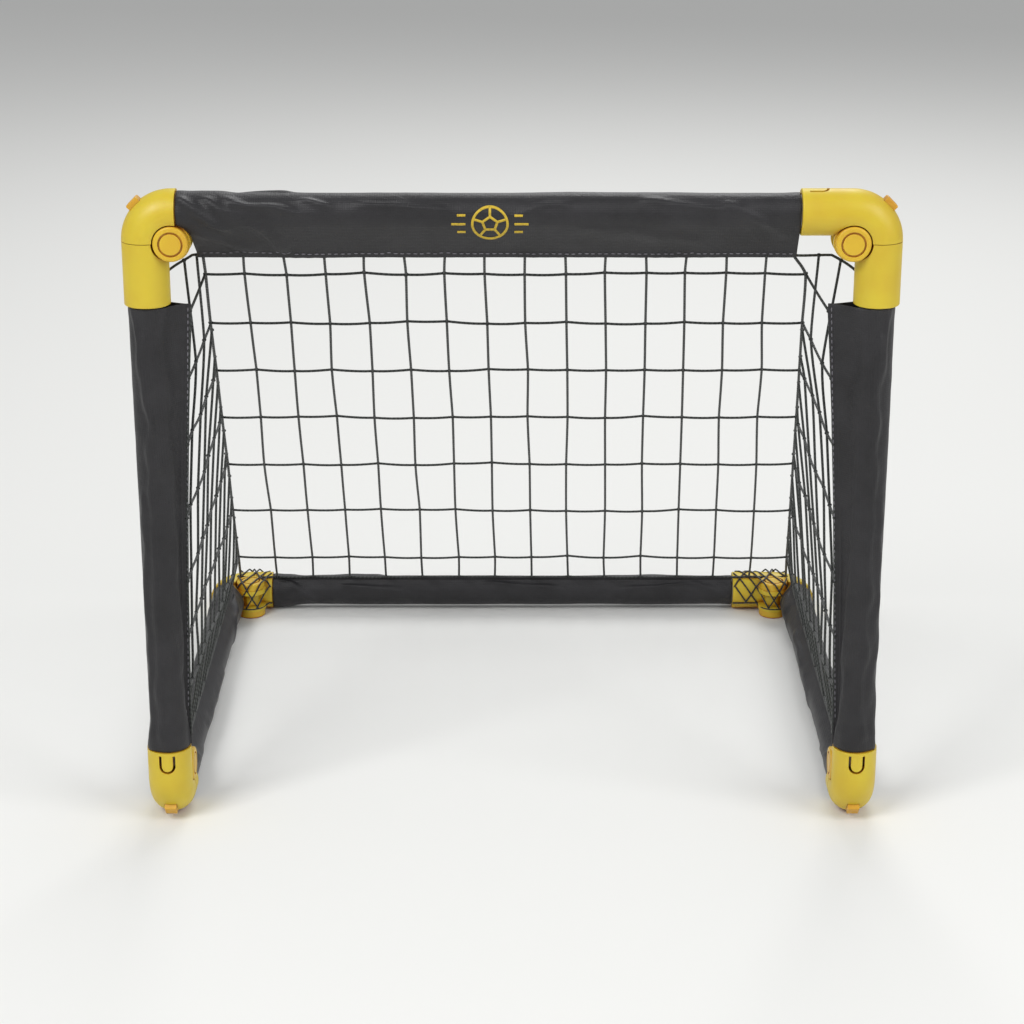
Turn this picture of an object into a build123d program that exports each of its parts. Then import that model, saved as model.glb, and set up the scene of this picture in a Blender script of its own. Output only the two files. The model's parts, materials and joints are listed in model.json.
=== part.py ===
"""Foldable lawn-game goal: six covered tubes, six folding elbows and a net.

Millimetres. +X is to the right, +Y to the back and +Z up. The origin is under the middle of the
whole goal, on the ground. The front frame (crossbar and two uprights) stands on the base frame
(rear rail and two side rails) and folds back onto it about the pins of the two foot elbows. Each
side arm then folds in against the rear rail about the pins of the corner elbows.
"""

import os

from build123d import *

# Driving sizes of the whole goal
overall_width = 500.0
overall_height = 440.0
overall_depth = 440.0

# Elbow: two sockets and a quarter bend about the pivot, which lies inside the corner
fitting_radius = 15.0
pivot_offset = 18.0  # from the pivot to the axis of each bar
arm_reach = 33.0  # from the pivot to the mouth of the shell's socket
leg_reach = 42.0  # from the pivot to the mouth of the tongue's socket
bend_radius = pivot_offset + fitting_radius
cavity_radius = 12.2
core_radius = 11.7
cavity_arc = 78.0
core_arc = 10.0
parting_gap = 0.4

# Pivot: tongue between two cheeks, on a steel pin with a cap over each end
tongue_half = 5.0
tongue_radius = 7.0
slot_half = 5.3
slot_radius = 7.6
cheek_top = 9.0
cheek_radius = 12.2
scoop_radius = 12.7
pin_radius = 3.0
pin_hole_radius = 3.05
pin_head_radius = 5.5
pin_head_height = 1.5
cap_radius = 11.4
cap_round = 1.5
cap_groove_radius = 6.8
cap_groove_width = 1.3
cap_groove_depth = 1.2

# Steel tube and its seat in a socket
tube_radius = 11.0
tube_wall = 1.0
bore_radius = 11.1
arm_bore_end = 9.5
leg_bore_end = 14.0
end_gap = 0.5
mouth_round = 0.9

# Snap tongue: a U-shaped slit in the socket's outer wall, over a round hole in the tube
snap_length = 13.0
snap_half = 5.5
snap_slit = 1.7
nib_hole_radius = 2.7
nib_inset = 12.0

# Lock button in a window of the bend, on a coil spring that stands on a rib of the shell
button_along = 9.0
button_across = 8.0
button_play = 0.6
button_foot = 27.0  # distances here are from the pivot, along the corner's diagonal
button_top = 36.0
flange_along = 12.0
flange_across = 10.4
flange_height = 1.2
peg_radius = 1.7
peg_length = 4.0
rib_low = 15.5
rib_high = 17.5
rib_along = 7.0
rib_across = 25.4
spring_radius = 3.0
spring_inner = 2.2

# Fabric sleeves and net
neck_radius = 12.6  # of a socket's end where a sleeve is pulled over it
sleeve_clearance = 0.1
sleeve_radius = 12.4
sleeve_neck_radius = 13.7
sleeve_shoulder = 1.5  # fabric between the bare tube and the end of a neck
flap_thickness = 1.4
crossbar_flap = 21.0
crossbar_flap_lean = 12.0
crossbar_flap_corner = 20.0
upright_flap_top = 18.0
upright_flap_foot = 3.0
net_thickness = 1.6
net_top_half = 194.0
net_low_half = 221.0
net_gap = 3.0

# Places that follow from the driving sizes
pivot_x = overall_width / 2 - bend_radius
foot_x = overall_width / 2 - fitting_radius
front_y = -overall_depth / 2 + fitting_radius
rear_y = overall_depth / 2 - fitting_radius
rear_pivot_y = rear_y - pivot_offset
crossbar_z = overall_height - fitting_radius
top_pivot_z = crossbar_z - pivot_offset
base_z = fitting_radius
fold_y = front_y + pivot_offset
fold_z = base_z + pivot_offset

# Each elbow's plane: x leads away from its shell's socket, y from its tongue's, z is the pin.
# Then its neck lengths, shell and tongue, and how far its snap tongue is from the shell's mouth.
elbow_layout = {
    "top_left": (Plane((-pivot_x, front_y, top_pivot_z), (-1, 0, 0), (0, 1, 0)), 30, 0, 5),
    "top_right": (Plane((pivot_x, front_y, top_pivot_z), (1, 0, 0), (0, -1, 0)), 0, 0, 5),
    "rear_left": (Plane((-pivot_x, rear_pivot_y, base_z), (-1, 0, 0), (0, 0, -1)), 16, 40, 5),
    "rear_right": (Plane((pivot_x, rear_pivot_y, base_z), (1, 0, 0), (0, 0, 1)), 0, 40, 5),
    "foot_left": (Plane((-foot_x, fold_y, fold_z), (0, 0, -1), (-1, 0, 0)), 12, 30, 14),
    "foot_right": (Plane((foot_x, fold_y, fold_z), (0, 0, -1), (-1, 0, 0)), 12, 30, 14),
}

# The plane of the corner's diagonal, in which the lock button slides
button_plane = Plane((0, 0, 0), (0, 0, 1), (1, 1, 0))

os.makedirs("parts", exist_ok=True)


def save(part, name):
    part.label = name
    export_step(part, f"parts/{name}.step")


def snap_slit_sketch(start):
    """U-shaped slit along the sketch's x, with its open side at x = start."""
    middle = start + snap_length - snap_half
    with Locations((start, 0)):
        Rectangle(middle - start, 2 * snap_half, align=(Align.MIN, Align.CENTER))
        Rectangle(
            middle - start,
            2 * (snap_half - snap_slit),
            align=(Align.MIN, Align.CENTER),
            mode=Mode.SUBTRACT,
        )
    with Locations((middle, 0)):
        Circle(snap_half)
        Circle(snap_half - snap_slit, mode=Mode.SUBTRACT)
        Rectangle(
            snap_half,
            2 * (snap_half - snap_slit),
            align=(Align.MAX, Align.CENTER),
            mode=Mode.SUBTRACT,
        )


def elbow_shell(neck, snap_start):
    """The socket, the hollow bend, the two cheeks of the pivot and the spring's rib."""
    with BuildPart() as shell:
        with BuildSketch(Plane.YZ):
            with Locations((pivot_offset, 0)):
                Circle(fitting_radius)
        extrude(amount=-(arm_reach - neck))
        with BuildSketch(Plane.XZ):
            with Locations((pivot_offset, 0)):
                Circle(fitting_radius)
        revolve(axis=Axis.Z, revolution_arc=90)
        if neck:
            with BuildSketch(Plane.YZ.offset(neck - arm_reach)):
                with Locations((pivot_offset, 0)):
                    Circle(neck_radius)
            extrude(amount=-neck)
        else:
            fillet(shell.edges().sort_by(Axis.X)[0], mouth_round)
        with BuildSketch(Plane.XZ):
            with Locations((pivot_offset, 0)):
                Circle(cavity_radius)
        revolve(axis=Axis.Z, revolution_arc=cavity_arc, mode=Mode.SUBTRACT)
        for side in (1, -1):
            with BuildSketch(Plane.XY.offset(side * cheek_top)):
                Circle(cheek_radius)
            extrude(amount=side * fitting_radius, mode=Mode.SUBTRACT)
        with BuildSketch(Plane.XY.offset(-slot_half)):
            Circle(slot_radius)
        extrude(amount=2 * slot_half, mode=Mode.SUBTRACT)
        for side in (1, -1):
            with BuildSketch(Plane.XY.offset(side * slot_half)):
                Circle(cheek_radius)
                Circle(pin_hole_radius, mode=Mode.SUBTRACT)
            extrude(amount=side * (cheek_top - slot_half))
        with BuildSketch(Plane.YZ.offset(-arm_reach)):
            with Locations((pivot_offset, 0)):
                Circle(bore_radius)
        extrude(amount=arm_reach - arm_bore_end, mode=Mode.SUBTRACT)
        with BuildSketch(Plane.XZ.offset(-bend_radius)):
            snap_slit_sketch(snap_start - arm_reach)
        extrude(amount=fitting_radius, mode=Mode.SUBTRACT)
        with BuildSketch(button_plane.offset(button_foot)):
            Rectangle(button_across + button_play, button_along + button_play)
        extrude(amount=button_top - button_foot, mode=Mode.SUBTRACT)
        with BuildSketch(button_plane.offset(rib_low)):
            Rectangle(rib_across, rib_along)
        extrude(amount=rib_high - rib_low)
    return shell.part


def elbow_tongue(neck):
    """The other socket, the core that enters the bend, and the pivot's tongue."""
    with BuildPart() as tongue:
        with BuildSketch(Plane.XZ.offset(parting_gap)):
            with Locations((pivot_offset, 0)):
                Circle(fitting_radius)
        extrude(amount=leg_reach - neck - parting_gap)
        if neck:
            with BuildSketch(Plane.XZ.offset(leg_reach - neck)):
                with Locations((pivot_offset, 0)):
                    Circle(neck_radius)
            extrude(amount=neck)
        else:
            fillet(tongue.edges().sort_by(Axis.Y)[0], mouth_round)
        with BuildSketch(Plane.XZ.offset(parting_gap)):
            with Locations((pivot_offset, 0)):
                Circle(core_radius)
        extrude(amount=-parting_gap)
        with BuildSketch(Plane.XZ):
            with Locations((pivot_offset, 0)):
                Circle(core_radius)
        revolve(axis=Axis.Z, revolution_arc=core_arc)
        for side in (1, -1):
            with BuildSketch(Plane.XY.offset(side * tongue_half)):
                Circle(scoop_radius)
            extrude(amount=side * fitting_radius, mode=Mode.SUBTRACT)
        with BuildSketch(Plane.XY.offset(-tongue_half)):
            Circle(tongue_radius)
        extrude(amount=2 * tongue_half)
        with BuildSketch(Plane.XY.offset(-tongue_half)):
            Circle(pin_hole_radius)
        extrude(amount=2 * tongue_half, mode=Mode.SUBTRACT)
        with BuildSketch(Plane.XZ.offset(leg_reach)):
            with Locations((pivot_offset, 0)):
                Circle(bore_radius)
        extrude(amount=-(leg_reach - leg_bore_end), mode=Mode.SUBTRACT)
    return tongue.part


# Pivot pin: a steel rivet with a flat head at each end
with BuildPart() as pivot_pin:
    with BuildSketch(Plane.XY.offset(-cheek_top)):
        Circle(pin_radius)
    extrude(amount=2 * cheek_top)
    for side in (1, -1):
        with BuildSketch(Plane.XY.offset(side * cheek_top)):
            Circle(pin_head_radius)
        extrude(amount=side * pin_head_height)

# Pivot caps: one over each pin head, with a ring groove in its face
with BuildPart() as pivot_caps:
    with BuildSketch(Plane.XY.offset(cheek_top)):
        Circle(cap_radius)
    extrude(amount=fitting_radius - cheek_top)
    fillet(pivot_caps.edges().group_by(Axis.Z)[-1], cap_round)
    with BuildSketch(Plane.XY.offset(fitting_radius)):
        Circle(cap_groove_radius + cap_groove_width)
        Circle(cap_groove_radius, mode=Mode.SUBTRACT)
    extrude(amount=-cap_groove_depth, mode=Mode.SUBTRACT)
    with BuildSketch(Plane.XY.offset(cheek_top)):
        Circle(pin_head_radius + end_gap)
    extrude(amount=pin_head_height + end_gap, mode=Mode.SUBTRACT)
    mirror(about=Plane.XY)

# Lock button: a block in the bend's window, a flange that keeps it in and a peg for its spring
with BuildPart() as lock_button:
    with BuildSketch(button_plane.offset(button_foot)):
        Rectangle(button_across, button_along)
    extrude(amount=button_top - button_foot)
    fillet(lock_button.edges().group_by(Axis((0, 0, 0), (1, 1, 0)))[-1], mouth_round)
    with BuildSketch(button_plane.offset(button_foot)):
        Rectangle(flange_across, flange_along)
    extrude(amount=flange_height)
    with BuildSketch(button_plane.offset(button_foot)):
        Circle(peg_radius)
    extrude(amount=-peg_length)

# Lock spring: the space that the coil takes between the rib and the button
with BuildPart() as lock_spring:
    with BuildSketch(button_plane.offset(rib_high)):
        Circle(spring_radius)
        Circle(spring_inner, mode=Mode.SUBTRACT)
    extrude(amount=button_foot - rib_high)

for place, (plane, shell_neck, tongue_neck, snap_start) in elbow_layout.items():
    elbow_pieces = {
        "elbow_shell": elbow_shell(shell_neck, snap_start),
        "elbow_tongue": elbow_tongue(tongue_neck),
        "pivot_pin": pivot_pin.part,
        "pivot_caps": pivot_caps.part,
        "lock_button": lock_button.part,
        "lock_spring": lock_spring.part,
    }
    for piece, shape in elbow_pieces.items():
        save(shape.moved(plane.location), f"{place}_{piece}")


def tube(start, along, length, snap_holes):
    """Steel tube from a point, with round holes given as (distance from its start, direction)."""
    with BuildPart() as pipe:
        with BuildSketch(Plane(start, z_dir=along)):
            Circle(tube_radius)
            Circle(tube_radius - tube_wall, mode=Mode.SUBTRACT)
        extrude(amount=length)
        for inset, outward in snap_holes:
            with BuildSketch(Plane(Vector(start) + Vector(along) * inset, z_dir=outward)):
                Circle(nib_hole_radius)
            extrude(amount=tube_radius + tube_wall, mode=Mode.SUBTRACT)
    return pipe.part


arm_grip = arm_reach - arm_bore_end - end_gap  # how far a tube enters a shell's socket
bar_start = pivot_x - arm_bore_end - end_gap
bar_hole = arm_grip - nib_inset
bar_ends = (bar_hole, 2 * bar_start - bar_hole)
save(
    tube((-bar_start, front_y, crossbar_z), (1, 0, 0), 2 * bar_start, [(d, (0, 0, 1)) for d in bar_ends]),
    "crossbar_tube",
)
save(
    tube((-bar_start, rear_y, base_z), (1, 0, 0), 2 * bar_start, [(d, (0, 1, 0)) for d in bar_ends]),
    "rear_rail_tube",
)

upright_start = fold_z + arm_bore_end + end_gap
upright_end = top_pivot_z - leg_bore_end - end_gap
side_start = fold_y + leg_bore_end + end_gap
side_end = rear_pivot_y - leg_bore_end - end_gap
for side, hand in ((-1, "left"), (1, "right")):
    save(
        tube(
            (side * foot_x, front_y, upright_start),
            (0, 0, 1),
            upright_end - upright_start,
            [(bar_hole, (0, -1, 0))],
        ),
        f"{hand}_upright_tube",
    )
    save(
        tube((side * foot_x, side_start, base_z), (0, 1, 0), side_end - side_start, []),
        f"{hand}_side_tube",
    )


def sleeve_blanks(start, along, length, start_neck, end_neck):
    """Outer solid and bore of the fabric round a tube, both wider over a socket's neck."""
    root = Plane(start, z_dir=along)
    blanks = []
    for tube_size, neck_size, shoulder in (
        (sleeve_radius, sleeve_neck_radius, sleeve_shoulder),
        (tube_radius + sleeve_clearance, neck_radius + sleeve_clearance, 0),
    ):
        with BuildPart() as blank:
            with BuildSketch(root):
                Circle(tube_size)
            extrude(amount=length)
            if start_neck:
                with BuildSketch(root):
                    Circle(neck_size)
                extrude(amount=start_neck + shoulder)
            if end_neck:
                with BuildSketch(root.offset(length)):
                    Circle(neck_size)
                extrude(amount=-end_neck - shoulder)
        blanks.append(blank.part)
    return blanks


# Crossbar sleeve: pulled over the left elbow's socket, cut round its cap, with a flap below
cuff_neck = elbow_layout["top_left"][1]
cuff_start = -(pivot_x - arm_reach) - cuff_neck + end_gap
crossbar_sleeve_end = pivot_x - arm_reach - end_gap
crossbar_outer, crossbar_bore = sleeve_blanks(
    (cuff_start, front_y, crossbar_z),
    (1, 0, 0),
    crossbar_sleeve_end - cuff_start,
    cuff_neck,
    0,
)
flap_left = -(pivot_x - crossbar_flap_corner)
with BuildPart() as crossbar_sleeve:
    add(crossbar_outer)
    with BuildSketch(Plane.YZ.offset(flap_left)):
        with Locations(Location((front_y, crossbar_z, 0), (0, 0, crossbar_flap_lean))):
            with Locations((0, -tube_radius)):
                Rectangle(flap_thickness, crossbar_flap, align=(Align.CENTER, Align.MAX))
    extrude(amount=crossbar_sleeve_end - flap_left)
    add(crossbar_bore, mode=Mode.SUBTRACT)
    with BuildSketch(Plane.XZ.offset(overall_depth)):
        with Locations((-pivot_x, top_pivot_z)):
            Circle(scoop_radius + flap_thickness)
    extrude(amount=-2 * overall_depth, mode=Mode.SUBTRACT)
save(crossbar_sleeve.part, "crossbar_sleeve")

# Rear rail sleeve: plain, pulled over the end of the left elbow's socket
rear_neck = elbow_layout["rear_left"][1]
rear_sleeve_start = -(pivot_x - arm_reach) - rear_neck + end_gap
rear_outer, rear_bore = sleeve_blanks(
    (rear_sleeve_start, rear_y, base_z),
    (1, 0, 0),
    pivot_x - arm_reach - end_gap - rear_sleeve_start,
    rear_neck,
    0,
)
with BuildPart() as rear_rail_sleeve:
    add(rear_outer)
    add(rear_bore, mode=Mode.SUBTRACT)
save(rear_rail_sleeve.part, "rear_rail_sleeve")

# Upright sleeves, with a flap towards the net that narrows downwards, and plain side sleeves
foot_neck, front_neck = elbow_layout["foot_left"][1:3]
rear_leg_neck = elbow_layout["rear_left"][2]
upright_low = fold_z + arm_reach - foot_neck + end_gap
upright_high = top_pivot_z - leg_reach - end_gap
side_front = fold_y + leg_reach - front_neck + end_gap
side_back = rear_pivot_y - leg_reach + rear_leg_neck - end_gap
for side, hand in ((-1, "left"), (1, "right")):
    upright_outer, upright_bore = sleeve_blanks(
        (side * foot_x, front_y, upright_low),
        (0, 0, 1),
        upright_high - upright_low,
        foot_neck,
        0,
    )
    flap_root = side * (foot_x - tube_radius)
    with BuildPart() as upright_sleeve:
        add(upright_outer)
        with BuildSketch(Plane.XZ.offset(-front_y - flap_thickness / 2)):
            with BuildLine():
                Polyline(
                    (flap_root, upright_low),
                    (flap_root - side * upright_flap_foot, upright_low),
                    (flap_root - side * upright_flap_top, upright_high),
                    (flap_root, upright_high),
                    close=True,
                )
            make_face()
        extrude(amount=flap_thickness)
        add(upright_bore, mode=Mode.SUBTRACT)
    save(upright_sleeve.part, f"{hand}_upright_sleeve")

    side_outer, side_bore = sleeve_blanks(
        (side * foot_x, side_front, base_z),
        (0, 1, 0),
        side_back - side_front,
        front_neck,
        rear_leg_neck,
    )
    with BuildPart() as side_sleeve:
        add(side_outer)
        add(side_bore, mode=Mode.SUBTRACT)
        with BuildSketch():
            with Locations((side * pivot_x, rear_pivot_y)):
                Circle(scoop_radius)
        extrude(amount=overall_height, mode=Mode.SUBTRACT)
    save(side_sleeve.part, f"{hand}_side_sleeve")

# Net: a sloping back panel and two side panels, each a thin plate in the net's place
net_top_y = front_y + pivot_offset - net_gap
net_top_z = crossbar_z - tube_radius - crossbar_flap - net_gap
net_low_y = rear_pivot_y + net_gap
net_low_z = 2 * fitting_radius + net_gap
slope_rise = net_top_z - net_low_z
slope_run = net_low_y - net_top_y
slope_length = (slope_rise**2 + slope_run**2) ** 0.5
back_slope = Plane((0, net_top_y, net_top_z), x_dir=(1, 0, 0), z_dir=(0, slope_rise, slope_run))
with BuildPart() as back_net:
    with BuildSketch(back_slope):
        with BuildLine():
            Polyline(
                (-net_top_half, 0),
                (net_top_half, 0),
                (net_low_half, slope_length),
                (-net_low_half, slope_length),
                close=True,
            )
        make_face()
    extrude(amount=-net_thickness)
save(back_net.part, "back_net")

for side, hand in ((-1, "left"), (1, "right")):
    top = Vector(side * (net_top_half + net_gap), front_y + pivot_offset, upright_high)
    foot = Vector(side * (net_low_half + net_gap), fold_y + scoop_radius + net_gap, net_low_z)
    back = Vector(side * (net_low_half + net_gap), net_low_y - net_gap, net_low_z)
    panel = Plane(foot, x_dir=back - foot, z_dir=(back - foot).cross(top - foot))
    with BuildPart() as side_net:
        with BuildSketch(panel):
            with BuildLine():
                Polyline(*[panel.to_local_coords(p) for p in (foot, back, top)], close=True)
            make_face()
        extrude(amount=net_thickness / 2, both=True)
    save(side_net.part, f"{hand}_net")
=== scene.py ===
import json
import math
import random

import bpy
import bmesh
from mathutils import Matrix, Vector, noise


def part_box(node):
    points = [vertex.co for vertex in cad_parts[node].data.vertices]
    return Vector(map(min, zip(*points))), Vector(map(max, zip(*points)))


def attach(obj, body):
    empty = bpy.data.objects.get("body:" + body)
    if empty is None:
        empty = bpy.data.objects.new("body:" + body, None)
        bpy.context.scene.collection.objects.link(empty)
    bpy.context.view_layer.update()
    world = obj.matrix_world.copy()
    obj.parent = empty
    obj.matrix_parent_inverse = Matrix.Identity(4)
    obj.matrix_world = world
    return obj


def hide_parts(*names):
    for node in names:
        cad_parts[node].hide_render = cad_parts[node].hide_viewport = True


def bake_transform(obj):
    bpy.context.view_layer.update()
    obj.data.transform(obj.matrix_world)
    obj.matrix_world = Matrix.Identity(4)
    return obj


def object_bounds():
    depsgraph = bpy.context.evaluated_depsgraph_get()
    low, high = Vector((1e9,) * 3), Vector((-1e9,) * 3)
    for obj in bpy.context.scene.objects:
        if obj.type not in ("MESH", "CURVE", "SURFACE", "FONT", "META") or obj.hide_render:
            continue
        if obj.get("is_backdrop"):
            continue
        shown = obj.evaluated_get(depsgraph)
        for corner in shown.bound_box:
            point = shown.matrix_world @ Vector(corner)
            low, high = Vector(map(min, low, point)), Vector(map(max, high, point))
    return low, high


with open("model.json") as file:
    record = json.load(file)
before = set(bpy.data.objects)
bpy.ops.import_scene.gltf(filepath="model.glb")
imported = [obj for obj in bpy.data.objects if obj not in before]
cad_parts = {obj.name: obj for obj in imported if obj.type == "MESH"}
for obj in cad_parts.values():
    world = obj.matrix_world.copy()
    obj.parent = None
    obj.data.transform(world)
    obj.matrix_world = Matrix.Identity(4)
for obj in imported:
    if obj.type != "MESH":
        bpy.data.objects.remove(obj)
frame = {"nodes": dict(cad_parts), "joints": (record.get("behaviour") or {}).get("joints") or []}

cadLow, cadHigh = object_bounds()
chance = random.Random(11)
mm = 0.001

# places read from the frame
jointPlace = {j["name"]: Vector(j["pos_m"]) for j in frame["joints"] if "pos_m" in j}


def middle(node):
    low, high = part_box(node)
    return (low + high) / 2


barCentre = middle("crossbar_tube")
railCentre = middle("rear_rail_tube")
uprightCentre = middle("right_upright_tube")
sideCentre = middle("right_side_tube")
topPivot = middle("top_right_pivot_pin")
cornerPlace = jointPlace["right_arm_fold"]
fittingRadius = uprightCentre.x - topPivot.x - 3 * mm  # outside of an elbow
hands = (("left", -1), ("right", 1))


def linear(hexColour):
    parts = [int(hexColour[i:i + 2], 16) / 255 for i in (1, 3, 5)]
    return [p / 12.92 if p <= 0.04045 else ((p + 0.055) / 1.055) ** 2.4 for p in parts] + [1.0]


def newMaterial(name):
    material = bpy.data.materials.new(name)
    material.use_nodes = True
    material.node_tree.nodes.clear()
    return material


def addNode(material, kind, settings=None, links=None):
    # settings name a property or an input, links name an input and what feeds it
    node = material.node_tree.nodes.new(kind)
    for key, value in (settings or {}).items():
        if isinstance(key, str) and hasattr(node, key):
            setattr(node, key, value)
        else:
            node.inputs[key].default_value = value
    for key, source in (links or {}).items():
        material.node_tree.links.new(source, node.inputs[key])
    return node


def mixColours(material, first, second, factor):
    # a colour mix has its colours at 6 and 7, and its result at 2
    mix = addNode(material, "ShaderNodeMix", {"data_type": "RGBA", 6: linear(first), 7: linear(second)},
                  {"Factor": factor})
    return mix.outputs[2]


def selectOnly(piece):
    if bpy.context.object and bpy.context.object.mode != "OBJECT":
        bpy.ops.object.mode_set(mode="OBJECT")
    bpy.ops.object.select_all(action="DESELECT")
    piece.select_set(True)
    bpy.context.view_layer.objects.active = piece


def applyModifier(piece, kind, settings):
    modifier = piece.modifiers.new(kind.title(), kind)
    for key, value in settings.items():
        setattr(modifier, key, value)
    selectOnly(piece)
    bpy.ops.object.modifier_apply(modifier=modifier.name)


def pieceFromMesh(name, build, material):
    # build fills a bmesh, which becomes a smooth shaded piece at the origin
    mesh = bpy.data.meshes.new(name)
    shape = bmesh.new()
    build(shape)
    bmesh.ops.recalc_face_normals(shape, faces=shape.faces)
    shape.to_mesh(mesh)
    shape.free()
    for face in mesh.polygons:
        face.use_smooth = True
    piece = bpy.data.objects.new(name, mesh)
    bpy.context.scene.collection.objects.link(piece)
    piece.data.materials.append(material)
    return piece


# Polypropylene, injection moulded with a fine spark texture: satin, a little see-through at
# thin edges. Its colour is deeper orange in random blotches, and painted shade makes it warmer and darker in
# its crevices, standing in for light bouncing between its own faces
def mouldedPlastic(name, face, toneAndShadeColour, roughness):
    material = newMaterial(name)
    place = addNode(material, "ShaderNodeTexCoord")
    blotch = addNode(material, "ShaderNodeTexNoise", {"Scale": 28.0, "Detail": 3.0},
                     {"Vector": place.outputs["Object"]})
    amount = addNode(material, "ShaderNodeMapRange",
                     {"From Min": 0.35, "From Max": 0.75, "To Min": 0.0, "To Max": 0.35},
                     {"Value": blotch.outputs["Fac"]})
    # painted shade: ambient occlusion within 6 mm pulls the colour towards the deeper orange in crevices and
    # gaps, such as round the caps
    shadeOcclusion = addNode(material, "ShaderNodeAmbientOcclusion", {"samples": 8, "Distance": 0.006})
    paintedShade = addNode(material, "ShaderNodeMapRange",
                    {"From Min": 0.25, "From Max": 0.8, "To Min": 1.0, "To Max": 0.0},
                    {"Value": shadeOcclusion.outputs["AO"]})
    # the colour goes towards the deeper orange by whichever is more: the random blotches, which are the
    # plastic's own tone, or the painted shade
    toneAndPaintedShade = addNode(material, "ShaderNodeMath", {"operation": "MAXIMUM"},
                    {0: amount.outputs["Result"], 1: paintedShade.outputs["Result"]})
    shade = mixColours(material, face, toneAndShadeColour, toneAndPaintedShade.outputs["Value"])
    # spark texture: grit under half a millimetre
    grit = addNode(material, "ShaderNodeTexNoise", {"Scale": 2500.0, "Detail": 2.0},
                   {"Vector": place.outputs["Object"]})
    # shallow sink marks and flow lines, 12 mm apart
    flow = addNode(material, "ShaderNodeTexNoise", {"Scale": 80.0, "Detail": 1.0},
                   {"Vector": place.outputs["Object"]})
    gritBump = addNode(material, "ShaderNodeBump", {"Strength": 0.12, "Distance": 0.0002},
                       {"Height": grit.outputs["Fac"]})
    flowBump = addNode(material, "ShaderNodeBump", {"Strength": 0.25, "Distance": 0.0008},
                       {"Height": flow.outputs["Fac"], "Normal": gritBump.outputs["Normal"]})
    gloss = addNode(material, "ShaderNodeMapRange",
                    {"From Min": 0.3, "From Max": 0.7, "To Min": roughness - 0.06,
                     "To Max": roughness + 0.1}, {"Value": flow.outputs["Fac"]})
    shader = addNode(material, "ShaderNodeBsdfPrincipled",
                     {"IOR": 1.49, "Subsurface Weight": 0.12, "Subsurface Scale": 0.003,
                      "Specular IOR Level": 0.45},
                     {"Base Color": shade, "Roughness": gloss.outputs["Result"],
                      "Normal": flowBump.outputs["Normal"]})
    shader.inputs["Subsurface Radius"].default_value = (1.0, 0.55, 0.12)
    addNode(material, "ShaderNodeOutputMaterial", {}, {"Surface": shader.outputs["BSDF"]})
    return material


# Coated polyester, plain weave: nearly black, with a faint sheen and a satin gloss. Its threads are
# drawn three times as coarse as they are, so that they show
def wovenPolyester(name, dark, light, threadSpacing):
    material = newMaterial(name)
    place = addNode(material, "ShaderNodeTexCoord")
    turns = 2 * math.pi / threadSpacing / 20  # a wave's scale of 1 is 20 radians per unit
    warp = addNode(material, "ShaderNodeTexWave",
                   {"bands_direction": "X", "Scale": turns, "Distortion": 0.6, "Detail Scale": 2.0},
                   {"Vector": place.outputs["UV"]})
    weft = addNode(material, "ShaderNodeTexWave",
                   {"bands_direction": "Y", "Scale": turns, "Distortion": 0.6, "Detail Scale": 2.0},
                   {"Vector": place.outputs["UV"]})
    weave = addNode(material, "ShaderNodeMath", {"operation": "MULTIPLY"},
                    {0: warp.outputs["Fac"], 1: weft.outputs["Fac"]})
    dust = addNode(material, "ShaderNodeTexNoise",
                   {"Scale": 35.0, "Detail": 6.0, "Roughness": 0.65},
                   {"Vector": place.outputs["Object"]})
    tone = addNode(material, "ShaderNodeMapRange",
                   {"From Min": 0.3, "From Max": 0.75, "To Min": 0.0, "To Max": 0.7},
                   {"Value": dust.outputs["Fac"]})
    mixed = addNode(material, "ShaderNodeMath", {"operation": "MULTIPLY_ADD", 1: 0.25},
                    {0: weave.outputs["Value"], 2: tone.outputs["Result"]})
    shade = mixColours(material, dark, light, mixed.outputs["Value"])
    threadBump = addNode(material, "ShaderNodeBump", {"Strength": 0.35, "Distance": 0.0003},
                         {"Height": weave.outputs["Value"]})
    crease = addNode(material, "ShaderNodeTexNoise",
                     {"Scale": 160.0, "Detail": 4.0, "Roughness": 0.6, "Distortion": 1.2},
                     {"Vector": place.outputs["Object"]})
    creaseBump = addNode(material, "ShaderNodeBump", {"Strength": 0.3, "Distance": 0.0012},
                         {"Height": crease.outputs["Fac"],
                          "Normal": threadBump.outputs["Normal"]})
    shader = addNode(material, "ShaderNodeBsdfPrincipled",
                     {"Roughness": 0.5, "Sheen Weight": 0.07, "Sheen Roughness": 0.4,
                      "Specular IOR Level": 0.42},
                     {"Base Color": shade, "Normal": creaseBump.outputs["Normal"]})
    addNode(material, "ShaderNodeOutputMaterial", {}, {"Surface": shader.outputs["BSDF"]})
    return material


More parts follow.
